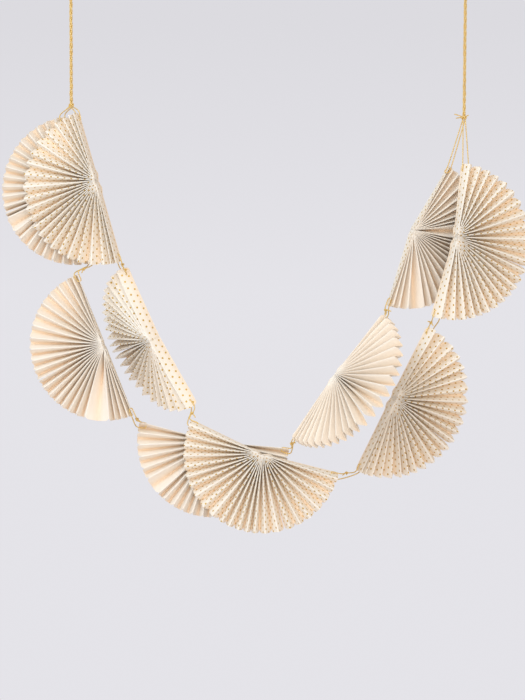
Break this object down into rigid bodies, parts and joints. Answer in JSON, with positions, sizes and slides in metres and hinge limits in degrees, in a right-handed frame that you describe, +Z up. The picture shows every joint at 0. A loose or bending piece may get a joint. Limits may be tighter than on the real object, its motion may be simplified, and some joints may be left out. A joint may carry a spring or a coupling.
{
  "type": "folded paper garland",
  "caption": "Hanging garland of half-round pleated paper fans tied tip to tip with gold thread, in two overlapping chains between two hanging cords.",
  "frame": {"origin": "top of the left hanging loop, where the garland hangs", "axes": "+X along the wall to the right hanging loop, +Y away from the viewer into the wall, +Z up"},
  "size_m": [0.5106, 0.1292, 0.5491],
  "materials": {
    "dotted_card": "matte, gold dots on white",
    "plain_card": "matte cream",
    "gold_thread": "glossy metallic thread"
  },
  "bodies": {
    "root": {"fan_dotted_1": "dotted_card", "fan_dotted_2": "dotted_card", "fan_dotted_3": "dotted_card", "fan_dotted_4": "dotted_card", "fan_dotted_5": "dotted_card", "fan_plain_1": "plain_card", "fan_plain_2": "plain_card", "fan_plain_3": "plain_card", "fan_plain_4": "plain_card", "fan_plain_5": "plain_card", "tie_dotted_1": "gold_thread", "tie_dotted_2": "gold_thread", "tie_dotted_3": "gold_thread", "tie_dotted_4": "gold_thread", "tie_plain_1": "gold_thread", "tie_plain_2": "gold_thread", "tie_plain_3": "gold_thread", "tie_plain_4": "gold_thread", "left_hanging_cord": "gold_thread", "right_hanging_cord": "gold_thread", "left_front_thread": "gold_thread", "left_back_thread": "gold_thread", "right_front_thread": "gold_thread", "right_back_thread": "gold_thread"}
  },
  "joints": []
}
